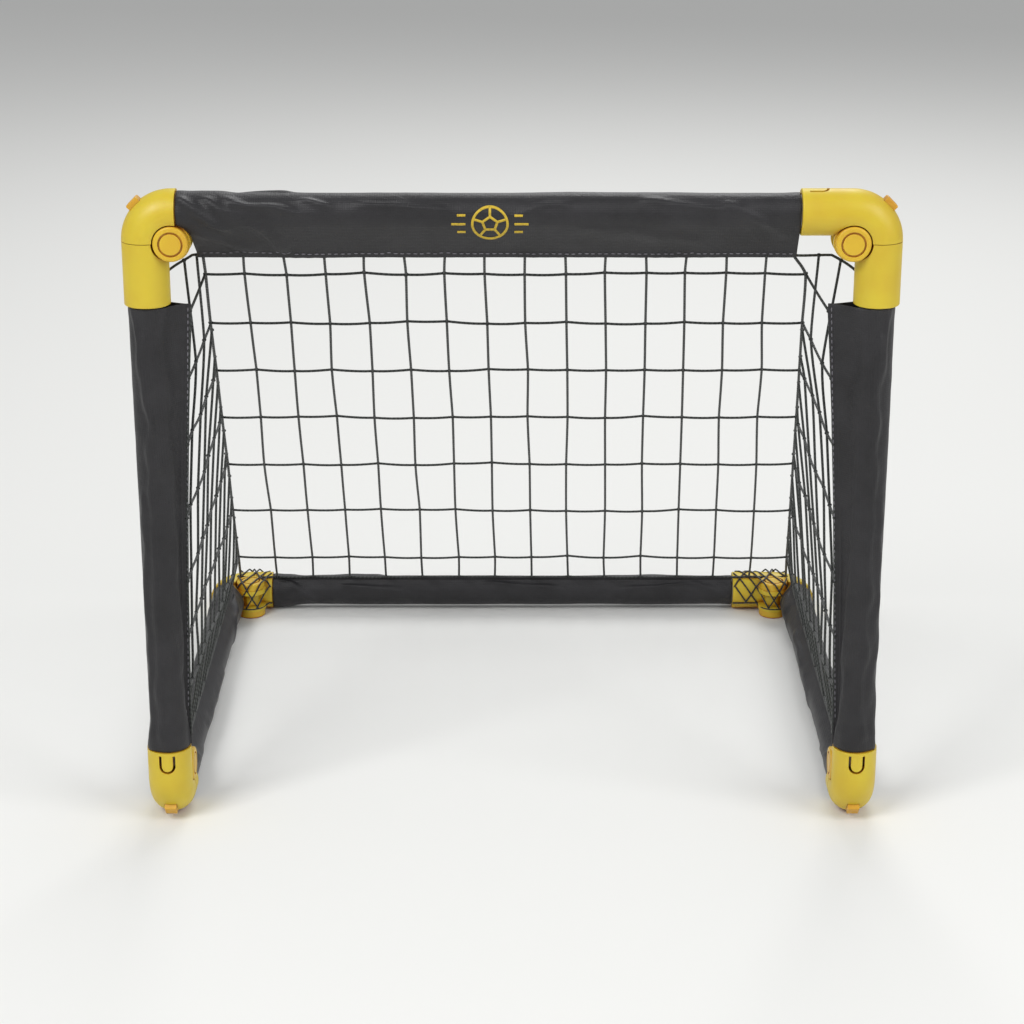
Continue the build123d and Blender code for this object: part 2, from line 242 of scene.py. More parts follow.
# Twisted polyethylene: three strands, dull, paler where the fibres fray
def twistedCord(name, dark, light, turnLength):
    material = newMaterial(name)
    place = addNode(material, "ShaderNodeTexCoord")
    # the cord's map runs once round for a strand and in metres along
    stretched = addNode(material, "ShaderNodeMapping",
                        {"Scale": (3.0, 3.0 / turnLength, 1.0)},
                        {"Vector": place.outputs["UV"]})
    strands = addNode(material, "ShaderNodeTexWave",
                      {"bands_direction": "DIAGONAL", "Scale": math.pi / 10, "Distortion": 0.4},
                      {"Vector": stretched.outputs["Vector"]})
    fuzz = addNode(material, "ShaderNodeTexNoise", {"Scale": 900.0, "Detail": 3.0},
                   {"Vector": place.outputs["Object"]})
    tone = addNode(material, "ShaderNodeMath", {"operation": "MULTIPLY"},
                   {0: strands.outputs["Fac"], 1: fuzz.outputs["Fac"]})
    shade = mixColours(material, dark, light, tone.outputs["Value"])
    bump = addNode(material, "ShaderNodeBump", {"Strength": 0.7, "Distance": 0.0004},
                   {"Height": strands.outputs["Fac"]})
    shader = addNode(material, "ShaderNodeBsdfPrincipled",
                     {"Roughness": 0.55, "Sheen Weight": 0.15, "Specular IOR Level": 0.4},
                     {"Base Color": shade, "Normal": bump.outputs["Normal"]})
    addNode(material, "ShaderNodeOutputMaterial", {}, {"Surface": shader.outputs["BSDF"]})
    return material


# Zinc plated or drawn steel: grey metal with fine lengthwise drawing marks
def platedSteel(name, base, streakScale, roughness):
    material = newMaterial(name)
    place = addNode(material, "ShaderNodeTexCoord")
    stretched = addNode(material, "ShaderNodeMapping", {"Scale": streakScale},
                        {"Vector": place.outputs["Object"]})
    streak = addNode(material, "ShaderNodeTexNoise", {"Scale": 60.0, "Detail": 5.0},
                     {"Vector": stretched.outputs["Vector"]})
    shade = mixColours(material, base, "#6F7274", streak.outputs["Fac"])
    gloss = addNode(material, "ShaderNodeMapRange",
                    {"To Min": roughness - 0.08, "To Max": roughness + 0.15},
                    {"Value": streak.outputs["Fac"]})
    bump = addNode(material, "ShaderNodeBump", {"Strength": 0.15, "Distance": 0.0002},
                   {"Height": streak.outputs["Fac"]})
    shader = addNode(material, "ShaderNodeBsdfPrincipled", {"Metallic": 1.0},
                     {"Base Color": shade, "Roughness": gloss.outputs["Result"],
                      "Normal": bump.outputs["Normal"]})
    addNode(material, "ShaderNodeOutputMaterial", {}, {"Surface": shader.outputs["BSDF"]})
    return material


# Screen print on cloth: thick yellow ink with the weave still showing through it
def printInk(name, base, worn):
    material = newMaterial(name)
    place = addNode(material, "ShaderNodeTexCoord")
    cracks = addNode(material, "ShaderNodeTexNoise",
                     {"Scale": 700.0, "Detail": 4.0, "Roughness": 0.7},
                     {"Vector": place.outputs["Object"]})
    amount = addNode(material, "ShaderNodeMapRange", {"From Min": 0.52, "From Max": 0.75},
                     {"Value": cracks.outputs["Fac"]})
    shade = mixColours(material, base, worn, amount.outputs["Result"])
    bump = addNode(material, "ShaderNodeBump", {"Strength": 0.3, "Distance": 0.0002},
                   {"Height": cracks.outputs["Fac"]})
    shader = addNode(material, "ShaderNodeBsdfPrincipled",
                     {"Roughness": 0.5, "Specular IOR Level": 0.4},
                     {"Base Color": shade, "Normal": bump.outputs["Normal"]})
    addNode(material, "ShaderNodeOutputMaterial", {}, {"Surface": shader.outputs["BSDF"]})
    return material


# the second colour serves both the random blotch tone and the painted shade in crevices
yellowPolypropylene = mouldedPlastic("yellowPolypropylene", "#D0B932", "#B67A1A", 0.42)
capPolypropylene = mouldedPlastic("capPolypropylene", "#D8B62F", "#AE5A16", 0.38)
buttonPolypropylene = mouldedPlastic("buttonPolypropylene", "#D0A02B", "#A85E14", 0.4)
blackPolyester = wovenPolyester("blackPolyester", "#171618", "#2D2C2F", 1.5 * mm)
sewingThread = wovenPolyester("sewingThread", "#5A585E", "#87848B", 0.8 * mm)
netCord = twistedCord("netCord", "#191C1A", "#434744", 5 * mm)
zincSteel = platedSteel("zincSteel", "#B9BCBE", (1, 1, 6), 0.35)
springSteel = platedSteel("springSteel", "#9A9DA0", (1, 1, 1), 0.3)
tubeSteel = platedSteel("tubeSteel", "#A7AAAC", (8, 8, 1), 0.4)
yellowInk = printInk("yellowInk", "#C9AA30", "#8A7420")

nodeFinish = {
    "_elbow_shell": yellowPolypropylene,
    "_elbow_tongue": yellowPolypropylene,
    "_pivot_caps": capPolypropylene,
    "_lock_button": buttonPolypropylene,
    "_pivot_pin": zincSteel,
    "_tube": tubeSteel,
}
for nodeName, node in frame["nodes"].items():
    for ending, material in nodeFinish.items():
        if nodeName.endswith(ending):
            node.data.materials.clear()
            node.data.materials.append(material)
print("materials done")


view = {"place": (0.0, -1.850, 0.782), "down": 20.0, "lens": 92.0, "shift": 0.055}
bpy.ops.object.camera_add(location=view["place"],
                          rotation=(math.radians(90 - view["down"]), 0, 0))
camera = bpy.context.object
camera.data.lens = view["lens"]
camera.data.sensor_width = 36
camera.data.shift_y = view["shift"]
camera.data.dof.use_dof = False
bpy.context.scene.camera = camera

paleFloor = newMaterial("paleFloor")
floorShader = addNode(paleFloor, "ShaderNodeBsdfPrincipled",
                      {"Base Color": linear("#E9E9E6"), "Roughness": 0.8})
addNode(paleFloor, "ShaderNodeOutputMaterial", {}, {"Surface": floorShader.outputs["BSDF"]})
bpy.ops.mesh.primitive_plane_add(size=12, location=(0, 0, cadLow.z))
floor = bpy.context.object
floor.name = "paleFloor"
floor.data.materials.append(paleFloor)
floor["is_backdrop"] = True

world = bpy.data.worlds.new("studio")
bpy.context.scene.world = world
world.use_nodes = True
world.node_tree.nodes["Background"].inputs["Color"].default_value = linear("#F1F2F4")
world.node_tree.nodes["Background"].inputs["Strength"].default_value = 0.48

softboxes = [
    {"place": (-1.3, -1.7, 2.1), "aim": (0, 0, 0.25), "size": 1.1, "power": 40},
    {"place": (1.6, -1.3, 1.5), "aim": (0, 0, 0.2), "size": 1.2, "power": 20},
    {"place": (0.3, 1.8, 1.9), "aim": (0, 0, 0.2), "size": 1.2, "power": 22},
]
for box in softboxes:
    bpy.ops.object.light_add(type="AREA", location=box["place"])
    lamp = bpy.context.object
    lamp.data.size = box["size"]
    lamp.data.energy = box["power"]
    aim = Vector(box["aim"]) - Vector(box["place"])
    lamp.rotation_euler = aim.to_track_quat("-Z", "Y").to_euler()
bpy.context.scene.view_settings.view_transform = "Standard"
print("camera, floor and light done")


# every sleeve's cloth. Its points are those in the hem, in the flat side and in half of the arc
cloth = {"thickness": 0.45 * mm, "slit": 0.35 * mm, "points": (3, 8, 20), "neckBlend": 7 * mm,
         "hemRise": 0.35 * mm, "hemFrom": 6 * mm, "hemTo": 8 * mm, "deepest": 0.2 * mm,
         "fine": 0.2 * mm, "bend": 4 * mm, "creaseDepth": 1.5, "puckerPitch": 9 * mm}
stitch = {"spacing": 4.2 * mm, "long": 0.34, "wide": 0.44 * mm, "thick": 0.34 * mm, "lift": 0.1 * mm}


def smooth(low, high, value):
    t = min(1.0, max(0.0, (value - low) / (high - low)))
    return t * t * (3 - 2 * t)


def sleeveSection(radius, reach, hem):
    # the cloth's outline, as (sideways, towards the flap): hem, flat side and arc, then back again
    hemCount, sideCount, arcCount = cloth["points"]
    slit = cloth["slit"]
    seam = max(reach - hem, radius * 1.03)
    tangent = math.acos(radius / seam)
    touch = (radius * math.sin(tangent), radius * math.cos(tangent))
    outline = [(slit, reach + (seam - reach) * i / hemCount) for i in range(hemCount)]
    for i in range(sideCount):
        share = i / sideCount
        outline.append((slit + (touch[0] - slit) * share, seam + (touch[1] - seam) * share))
    for i in range(arcCount + 1):
        angle = tangent + (math.pi - tangent) * i / arcCount
        outline.append((radius * math.sin(angle), radius * math.cos(angle)))
    return outline + [(-u, v) for u, v in reversed(outline[:-1])]


def sleeveRadius(spec, distance, length):
    # wider where the cloth is pulled over a fitting, and a little at its end hems
    radius = spec["radius"]
    for away, neck in ((distance, spec["startNeck"]), (length - distance, spec["endNeck"])):
        if neck:
            over = 1 - smooth(neck, neck + cloth["neckBlend"], away)
            radius += (spec["neckRadius"] - spec["radius"]) * over
    endNear = min(distance, length - distance)
    return radius + cloth["hemRise"] * (1 - smooth(cloth["hemFrom"], cloth["hemTo"], endNear))


def sleeveRows(spec, start, along, length):
    # rows of points along the sleeve, and each point's distance along, share round and length round
    flapWay = Vector(spec["flapWay"]).normalized()
    sideWay = along.cross(flapWay)
    rows, marks = [], []
    for k in range(spec["stations"] + 1):
        share = k / spec["stations"]
        distance = share * length
        outline = sleeveSection(sleeveRadius(spec, distance, length), spec["reach"](share), spec["hem"])
        row, mark, run = [], [], 0.0
        for i, (u, v) in enumerate(outline):
            if i:
                run += math.dist(outline[i - 1], outline[i])
            row.append(spec["trim"](start + along * distance + sideWay * u + flapWay * v))
            mark.append((distance, i / (len(outline) - 1), run))
        rows.append(row)
        marks.append(mark)
    return rows, marks


def segmentDistance(point, first, last):
    way = last - first
    share = min(1.0, max(0.0, (point - first).dot(way) / way.length_squared))
    return (point - first - way * share).length


def clothFold(spec, along, around):
    # height of the folds: soft ones all over, the drawn creases, and puckers along the seam
    seed = spec["seed"]
    soft = noise.noise(Vector((along * spec["softAlong"], around * spec["softRound"], seed)))
    fine = noise.noise(Vector((along * 90, around * 14, seed + 5)))
    height = spec["soft"] * soft + cloth["fine"] * fine
    bend = cloth["bend"] * noise.noise(Vector((along * 45, around * 9, seed + 9)))
    here = Vector((along + bend, around * spec["girth"] + bend))
    for first, firstRound, last, lastRound, rise, width in spec["creases"]:
        away = segmentDistance(here, Vector((first * mm, firstRound * spec["girth"])),
                               Vector((last * mm, lastRound * spec["girth"])))
        height += cloth["creaseDepth"] * rise * mm * math.exp(-(away / (width * mm)) ** 2)
    seamNear = max(0.0, 1 - min(around, 1 - around) * 9)
    wave = 3 * noise.noise(Vector((along * 40, seed, 0)))
    return height + spec["pucker"] * seamNear * math.sin(along * 2 * math.pi / cloth["puckerPitch"] + wave)


def makeSleeve(spec):
    start, end = Vector(spec["start"]), Vector(spec["end"])
    length = (end - start).length
    along = (end - start).normalized()
    rows, marks = sleeveRows(spec, start, along, length)

    def build(shape):
        layer = shape.loops.layers.uv.new("fabricMap")
        grid = []
        for row, mark in zip(rows, marks):
            points = []
            for i, point in enumerate(row):
                inward = along.cross(row[(i + 1) % len(row)] - row[i - 1]).normalized()
                height = max(-cloth["deepest"], clothFold(spec, mark[i][0], mark[i][1]))
                points.append(shape.verts.new(point - inward * height))
            grid.append(points)
        count = len(grid[0])
        for k in range(spec["stations"]):
            for i in range(count):
                j = (i + 1) % count
                face = shape.faces.new((grid[k][i], grid[k][j], grid[k + 1][j], grid[k + 1][i]))
                here, there, near = marks[k][i][0], marks[k + 1][i][0], marks[k][i][2]
                after = marks[k][j][2] if j else near + 2 * cloth["slit"]
                corners = ((here, near), (here, after), (there, after), (there, near))
                for loop, corner in zip(face.loops, corners):
                    loop[layer].uv = corner

    piece = pieceFromMesh(spec["name"], build, blackPolyester)
    applyModifier(piece, "SOLIDIFY", {"thickness": cloth["thickness"], "offset": -1.0})
    applyModifier(piece, "SUBSURF", {"levels": 1, "render_levels": 1})
    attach(piece, spec["body"])
    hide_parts(spec["node"])
    return piece


def sewRow(name, sleeve, path, outward, body):
    # thread stitches laid on the cloth along a path, each one a small rounded bar
    first, last = path
    count = int((last - first).length / stitch["spacing"])
    size = Matrix.Diagonal((stitch["thick"], stitch["wide"], stitch["spacing"] * stitch["long"], 1))

    def build(shape):
        for k in range(count):
            spot = first.lerp(last, (k + 0.5) / count)
            _, near, normal, _ = sleeve.closest_point_on_mesh(spot + outward)
            way = (last - first).normalized()
            way = (way - normal * way.dot(normal)).normalized()
            turn = Matrix((way, normal.cross(way), normal)).transposed().to_4x4()
            place = Matrix.Translation(near + normal * stitch["lift"])
            upright = Matrix.Rotation(math.pi / 2, 4, "Y")
            bmesh.ops.create_uvsphere(shape, u_segments=6, v_segments=5, radius=1,
                                      matrix=place @ turn @ upright @ size)

    piece = pieceFromMesh(name, build, sewingThread)
    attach(piece, body)
    return piece


def samePlace(point):
    return point


barLow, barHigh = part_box("crossbar_sleeve")
flapLean = math.radians(14)
barCut = {"radius": 12.5 * mm, "lean": 0.15, "stretch": 60 * mm}  # the crossbar's cloth round the left cap
sideCut = {"radius": 14.6 * mm, "stretch": 30 * mm}  # the side cloths round the corner pivots


def cutRoundCap(point):
    # the cloth's left end goes round the cap and hangs nearly straight below it, and the cloth
    # next to it is moved along to make room
    rise = point.z - topPivot.z
    if rise >= barCut["radius"]:
        return point
    if rise > 0:
        edge = -topPivot.x + math.sqrt(barCut["radius"] ** 2 - rise ** 2)
    else:
        edge = -topPivot.x + barCut["radius"] - barCut["lean"] * rise
    last = edge + barCut["stretch"]
    if point.x >= last:
        return point
    share = (point.x - barLow.x) / (last - barLow.x)
    return Vector((edge + share * barCut["stretch"], point.y, point.z))


# each crease: mm along and share round at its two ends, then how high and how wide in mm
crossbarSpec = {
    "name": "crossbarSleeve", "node": "crossbar_sleeve", "body": "crossbar", "tube": "crossbar_tube",
    "start": (barLow.x, barCentre.y, barCentre.z), "end": (barHigh.x, barCentre.y, barCentre.z),
    "flapWay": (0, math.sin(flapLean), -math.cos(flapLean)),
    "radius": 12.3 * mm, "neckRadius": 13.4 * mm, "startNeck": 30 * mm, "endNeck": 0,
    "reach": lambda share: 32.5 * mm, "hem": 4 * mm, "stations": 96, "trim": cutRoundCap,
    "soft": 0.9 * mm, "softAlong": 18, "softRound": 3.0, "pucker": 0.4 * mm, "seed": 3.1,
    "girth": 109 * mm,
    "creases": [(3, 0.58, 30, 0.81, 2.6, 2.6), (19, 0.57, 30, 0.67, 2.0, 2.2),
                (36, 0.60, 74, 0.67, 2.2, 2.8), (50, 0.80, 65, 0.92, 1.9, 2.6),
                (80, 0.56, 96, 0.64, 1.8, 2.6), (8, 0.86, 44, 0.93, 1.4, 2.4),
                (118, 0.61, 168, 0.66, 1.0, 3.2), (214, 0.70, 244, 0.60, 0.9, 3.2),
                (300, 0.58, 348, 0.66, 1.0, 3.4), (352, 0.62, 388, 0.86, 1.1, 3.0),
                (260, 0.84, 330, 0.88, 0.8, 3.0), (20, 0.30, 70, 0.42, 1.2, 3.0)],
}
crossbarSleeve = makeSleeve(crossbarSpec)

railLow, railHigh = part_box("rear_rail_sleeve")
makeSleeve({
    "name": "rearRailSleeve", "node": "rear_rail_sleeve", "body": "rear_rail", "tube": "rear_rail_tube",
    "start": (railLow.x, railCentre.y, railCentre.z), "end": (railHigh.x, railCentre.y, railCentre.z),
    "flapWay": (0, -0.5, 0.9),
    "radius": 12.1 * mm, "neckRadius": 13.4 * mm, "startNeck": 16 * mm, "endNeck": 0,
    "reach": lambda share: 16.5 * mm, "hem": 3 * mm, "stations": 90, "trim": samePlace,
    "soft": 0.9 * mm, "softAlong": 16, "softRound": 3.0, "pucker": 0.4 * mm, "seed": 8.4,
    "girth": 78 * mm,
    "creases": [(6, 0.10, 40, 0.34, 1.1, 2.4), (60, 0.16, 110, 0.24, 0.9, 2.6),
                (180, 0.12, 236, 0.20, 0.8, 3.0), (290, 0.26, 340, 0.14, 0.8, 2.8),
                (350, 0.10, 380, 0.30, 1.0, 2.4), (20, 0.70, 90, 0.80, 1.0, 3.0),
                (240, 0.66, 330, 0.72, 1.0, 3.0)],
})

uprightReach = {"left": (15.5, 19.0, 28.0), "right": (15.5, 20.5, 31.0)}  # mm, foot, middle, top


def uprightFlap(hand):
    foot, half, top = (value * mm for value in uprightReach[hand])

    def reach(share):
        # a curve through the three widths
        return (foot * (1 - share) * (1 - 2 * share) + half * 4 * share * (1 - share)
                + top * share * (2 * share - 1))
    return reach


def uprightCreases(side):
    # long folds down the front of the cloth, and fewer behind
    front = [(10, 0.14, 290, 0.20, 1.3, 2.4), (60, 0.30, 309, 0.35, 1.1, 2.6),
             (0, 0.05, 180, 0.09, 1.0, 2.4), (200, 0.23, 309, 0.12, 1.2, 2.2),
             (0, 0.33, 90, 0.21, 1.0, 2.2), (250, 0.30, 309, 0.26, 0.9, 2.0)]
    back = [(0, 0.16, 200, 0.24, 1.2, 2.8), (120, 0.34, 309, 0.30, 1.2, 2.8)]
    return ([(a, 0.5 - side * b, c, 0.5 - side * d, rise, width) for a, b, c, d, rise, width in front]
            + [(a, 0.5 + side * b, c, 0.5 + side * d, rise, width) for a, b, c, d, rise, width in back])


for hand, side in hands:
    low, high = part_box(hand + "_upright_sleeve")
    x = side * uprightCentre.x
    flapWay = (-side, 0.12, 0)
    reach = uprightFlap(hand)
    sleeve = makeSleeve({
        "name": hand + "UprightSleeve", "node": hand + "_upright_sleeve", "body": hand + "_upright",
        "tube": hand + "_upright_tube",
        "start": (x, uprightCentre.y, low.z), "end": (x, uprightCentre.y, high.z), "flapWay": flapWay,
        "radius": 12.2 * mm, "neckRadius": 13.4 * mm, "startNeck": 12 * mm, "endNeck": 0,
        "reach": reach, "hem": 4 * mm, "stations": 80, "trim": samePlace,
        "soft": 1.1 * mm, "softAlong": 5, "softRound": 5.5, "pucker": 0.35 * mm, "seed": 14.2 + side,
        "girth": 88 * mm, "creases": uprightCreases(side),
    })
    towards = Vector(flapWay).normalized()
    ends = [Vector((x, uprightCentre.y, z)) + towards * (reach(share) - 2.2 * mm)
            for z, share in ((low.z + 2 * mm, 0), (high.z - 2 * mm, 1))]
    sewRow(hand + "UprightStitches", sleeve, ends, Vector((0, -2 * mm, 0)), hand + "_upright")

    low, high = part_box(hand + "_side_sleeve")

    def cutRoundCorner(point):
        away = abs(point.x) - cornerPlace.x
        if abs(away) >= sideCut["radius"]:
            return point
        edge = cornerPlace.y - math.sqrt(sideCut["radius"] ** 2 - away ** 2)
        first = edge - sideCut["stretch"]
        if point.y <= first or edge > high.y:
            return point
        share = (point.y - first) / (high.y - first)
        return Vector((point.x, first + share * sideCut["stretch"], point.z))

    makeSleeve({
        "name": hand + "SideSleeve", "node": hand + "_side_sleeve", "body": hand + "_side_rail",
        "tube": hand + "_side_tube",
        "start": (x, low.y, sideCentre.z), "end": (x, high.y, sideCentre.z),
        "flapWay": (-side * 0.25, 0, 1),
        "radius": 12.1 * mm, "neckRadius": 13.4 * mm, "startNeck": 30 * mm, "endNeck": 40 * mm,
        "reach": lambda share: 17 * mm, "hem": 3 * mm, "stations": 84, "trim": cutRoundCorner,
        "soft": 1.0 * mm, "softAlong": 10, "softRound": 4.0, "pucker": 0.35 * mm, "seed": 21.7 + side,
        "girth": 80 * mm,
        "creases": [(6, 0.20, 60, 0.34, 1.0, 2.4), (6, 0.80, 60, 0.66, 1.0, 2.4),
                    (90, 0.24, 200, 0.30, 1.0, 2.8), (140, 0.72, 260, 0.78, 1.0, 2.8),
                    (270, 0.30, 340, 0.18, 1.1, 2.6), (280, 0.64, 345, 0.80, 1.1, 2.6)],
    })

hemLine = barCentre + Vector(crossbarSpec["flapWay"]) * 30.6 * mm
sewRow("crossbarStitches", crossbarSleeve,
       [Vector((-topPivot.x + 17 * mm, hemLine.y, hemLine.z)),
        Vector((barHigh.x - 2 * mm, hemLine.y, hemLine.z))],
       Vector((0, -4 * mm, 0)), "crossbar")
print("sleeves done")


# emblem printed on the crossbar: a plain ball between three bars each side
emblem = {"x": -14 * mm, "drop": 5.5 * mm, "ball": 12 * mm, "line": 1.6 * mm, "patch": 0.42,
          "bar": 9 * mm, "barShares": (0.6, 1.0, 0.6), "barPitch": 6 * mm, "barGap": 3.5 * mm,
          "lift": 0.12 * mm, "ink": 0.2 * mm}


def printGrid(shape, corner, acrossPoints, upPoints):
    # a strip of small quads, whose points come from a function of two shares
    grid = [[shape.verts.new(corner(i / acrossPoints, j / upPoints)) for j in range(upPoints + 1)]
            for i in range(acrossPoints + 1)]
    for i in range(acrossPoints):
        for j in range(upPoints):
            shape.faces.new((grid[i][j], grid[i + 1][j], grid[i + 1][j + 1], grid[i][j + 1]))


def buildEmblem(shape):
    centre = Vector((emblem["x"], 0, barCentre.z - emblem["drop"]))
    line, ball = emblem["line"], emblem["ball"]

    def laid(x, z):
        inFront = Vector((centre.x + x, cadLow.y - 50 * mm, centre.z + z))
        _, near, _, _ = crossbarSleeve.ray_cast(inFront, Vector((0, 1, 0)))
        return near - Vector((0, emblem["lift"], 0))

    def ring(a, b):
        angle = a * 2 * math.pi
        radius = ball - line * b
        return laid(radius * math.cos(angle), radius * math.sin(angle))

    def stroke(startAt, endAt):
        way = (Vector(endAt) - Vector(startAt)).normalized()
        off = Vector((-way.y, way.x)) * line / 2

        def corner(a, b):
            spot = Vector(startAt).lerp(Vector(endAt), a) + off * (2 * b - 1)
            return laid(spot.x, spot.y)
        return corner

    printGrid(shape, ring, 72, 2)
    patch = ball * emblem["patch"]
    for k in range(5):
        here = math.pi / 2 + k * 2 * math.pi / 5
        after = here + 2 * math.pi / 5
        first = Vector((math.cos(here), math.sin(here)))
        second = Vector((math.cos(after), math.sin(after)))
        printGrid(shape, stroke(first * patch, second * patch), 6, 2)
        printGrid(shape, stroke(first * patch, first * (ball - line)), 5, 2)
    for side in (1, -1):
        for k, share in enumerate(emblem["barShares"]):
            z = (k - 1) * emblem["barPitch"]
            near = side * (ball + emblem["barGap"])
            printGrid(shape, stroke((near, z), (near + side * emblem["bar"] * share, z)), 8, 2)


ballPrint = pieceFromMesh("ballPrint", buildEmblem, yellowInk)
selectOnly(ballPrint)
bpy.ops.object.mode_set(mode="EDIT")
bpy.ops.mesh.select_all(action="SELECT")
bpy.ops.mesh.remove_doubles(threshold=0.02 * mm)
bpy.ops.mesh.normals_make_consistent(inside=False)
bpy.ops.object.mode_set(mode="OBJECT")
applyModifier(ballPrint, "SOLIDIFY", {"thickness": emblem["ink"], "offset": 0.0})
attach(ballPrint, "crossbar")
print("print done")


# cord, thinCord and knot are radii. The ends are where the outer columns meet the crossbar's flap and
# the rear rail, and the rows are shares of the way down and heights on the uprights
net = {"cord": 0.9 * mm, "edgeCord": 1.035 * mm, "thinCord": 0.65 * mm, "sides": 8, "samples": 6,
       "knot": 1.4 * mm, "wander": 0.9 * mm, "slack": 0.018, "columns": 15,
       "topEnds": (-199 * mm, 190 * mm), "footEnds": (-226 * mm, 228 * mm),
       "rows": (0.045, 0.170, 0.301, 0.439, 0.588, 0.748, 0.922),
       "uprightRows": (0.359, 0.314, 0.269, 0.218, 0.173, 0.134, 0.097),
       "edgeHeights": (0.362, 0.33, 0.29, 0.23, 0.17, 0.11, 0.062),
       "sidePitch": 29 * mm}
flapFoot = barCentre + Vector(crossbarSpec["flapWay"]) * 30.8 * mm
railTop = Vector((0, railCentre.y - 7.5 * mm, railCentre.z + 14.5 * mm))


def slopePoint(share, t):
    # share 0 to 1 from left to right, t 0 to 1 from the crossbar's flap to the rear rail
    ends = [top + (foot - top) * t for top, foot in zip(net["topEnds"], net["footEnds"])]
    place = flapFoot.lerp(railTop, t)
    x = ends[0] + (ends[1] - ends[0]) * share
    return Vector((min(x, barHigh.x - 2 * mm) if t == 0 else x, place.y, place.z))


def wander(point, amount=1.0):
    step = net["wander"] * amount
    return point + Vector([chance.uniform(-step, step) for _ in range(3)])


def smoothLine(points):
    # a curve through the knots, with a little slack between them
    line = []
    for i in range(len(points) - 1):
        a, b = points[max(i - 1, 0)], points[i]
        c, d = points[i + 1], points[min(i + 2, len(points) - 1)]
        slack = (c - b).length * net["slack"]
        for k in range(net["samples"]):
            t = k / net["samples"]
            spot = 0.5 * (2 * b + (c - a) * t + (2 * a - 5 * b + 4 * c - d) * t * t
                          + (3 * b - a - 3 * c + d) * t ** 3)
            spot = spot.lerp(b.lerp(c, t), 0.5)
            line.append(spot - Vector((0, 0, slack * 4 * t * (1 - t))))
    return line + [points[-1]]


def layCord(shape, line, radius):
    layer = shape.loops.layers.uv.verify()
    sides = net["sides"]
    rings, runs, run = [], [], 0.0
    normal = (line[1] - line[0]).orthogonal().normalized()
    for k, point in enumerate(line):
        way = (line[min(k + 1, len(line) - 1)] - line[max(k - 1, 0)]).normalized()
        normal = (normal - way * normal.dot(way)).normalized()
        binormal = way.cross(normal)
        if k:
            run += (point - line[k - 1]).length
        runs.append(run)
        rings.append([shape.verts.new(point + radius * (math.cos(a) * normal + math.sin(a) * binormal))
                      for a in (2 * math.pi * i / sides for i in range(sides))])
    for k in range(len(rings) - 1):
        for i in range(sides):
            j = (i + 1) % sides
            face = shape.faces.new((rings[k][i], rings[k][j], rings[k + 1][j], rings[k + 1][i]))
            corners = ((i, runs[k]), (i + 1, runs[k]), (i + 1, runs[k + 1]), (i, runs[k + 1]))
            for loop, (u, v) in zip(face.loops, corners):
                loop[layer].uv = (u / sides, v)
    shape.faces.new(list(reversed(rings[0])))
    shape.faces.new(rings[-1])


def tieKnot(shape, point, size=1.0):
    turn = Matrix.Rotation(chance.uniform(0, 3), 4, (chance.random(), chance.random(), 0.3))
    stretch = Matrix.Diagonal((1.25 * size, 0.85 * size, size, 1))
    bmesh.ops.create_uvsphere(shape, u_segments=8, v_segments=6, radius=net["knot"],
                              matrix=Matrix.Translation(point) @ turn @ stretch)


# cords over the rear elbows. Each lean is where a cord starts and how far it goes sideways, in mm
wrap = {"first": {-1: 200 * mm, 1: 184 * mm}, "last": cornerPlace.x + 14 * mm, "capRadius": 11.4 * mm,
        "behind": 7 * mm, "hang": 22 * mm, "hems": (-0.25, 1), "hemSteps": 12, "steps": 8,
        "leans": [(8.5 * k - 14, 26) for k in range(8)] + [(16, -24), (34, -24), (54, -26)]}


def elbowWrap(side):
    # slanting cords pulled over a rear elbow and its cap, from low behind it to its lower front
    first, last, steps = wrap["first"][side], wrap["last"], wrap["steps"]
    skin = fittingRadius + net["thinCord"]
    capSkin = wrap["capRadius"] + net["thinCord"]
    top = railCentre.z + skin

    def overElbow(x, turn):
        # turn is 0 on top of the elbow, under 0 behind it, and 1 at the lower front
        capDepth = capSkin ** 2 - (x - cornerPlace.x) ** 2
        if capDepth <= 0 or turn < 0:
            angle = 2.5 * turn - 0.5
            return Vector((side * x, railCentre.y - skin * math.sin(angle),
                           railCentre.z + skin * math.cos(angle)))
        front = cornerPlace.y - math.sqrt(capDepth)
        behind = railCentre.y + wrap["behind"]
        if turn < 0.5:
            return Vector((side * x, behind + (front - behind) * turn * 2, top))
        return Vector((side * x, front, top - (turn - 0.5) * 2 * wrap["hang"]))

    cords = []
    for start, lean in wrap["leans"]:
        places = [(first + (start + lean * step / steps) * mm, step / steps) for step in range(-2, steps + 1)]
        cord = [overElbow(x, turn) for x, turn in places if first <= x <= last]
        if len(cord) > 2:
            cords.append(cord)
    for turn in wrap["hems"]:
        cords.append([overElbow(first + (last - first) * k / wrap["hemSteps"], turn)
                      for k in range(wrap["hemSteps"] + 1)])
    return cords


def buildBackNet(shape):
    columns = net["columns"]
    levels = (0.0,) + net["rows"] + (1.0,)
    knots = []
    for j, t in enumerate(levels):
        edge = j in (0, len(levels) - 1)
        knots.append([wander(slopePoint(i / columns, t), 0.35 if edge or i in (0, columns) else 1.0)
                      for i in range(columns + 1)])
    for i in range(columns + 1):
        radius = net["edgeCord"] if i in (0, columns) else net["cord"]
        layCord(shape, smoothLine([row[i] for row in knots]), radius)
    for j, row in enumerate(knots[1:], 1):
        layCord(shape, smoothLine(row), net["cord"])
        for point in row:
            tieKnot(shape, point)
    for side in (1, -1):
        for cord in elbowWrap(side):
            layCord(shape, smoothLine(cord), net["thinCord"])


backNet = pieceFromMesh("backNet", buildBackNet, netCord)
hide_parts("back_net")
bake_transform(backNet)


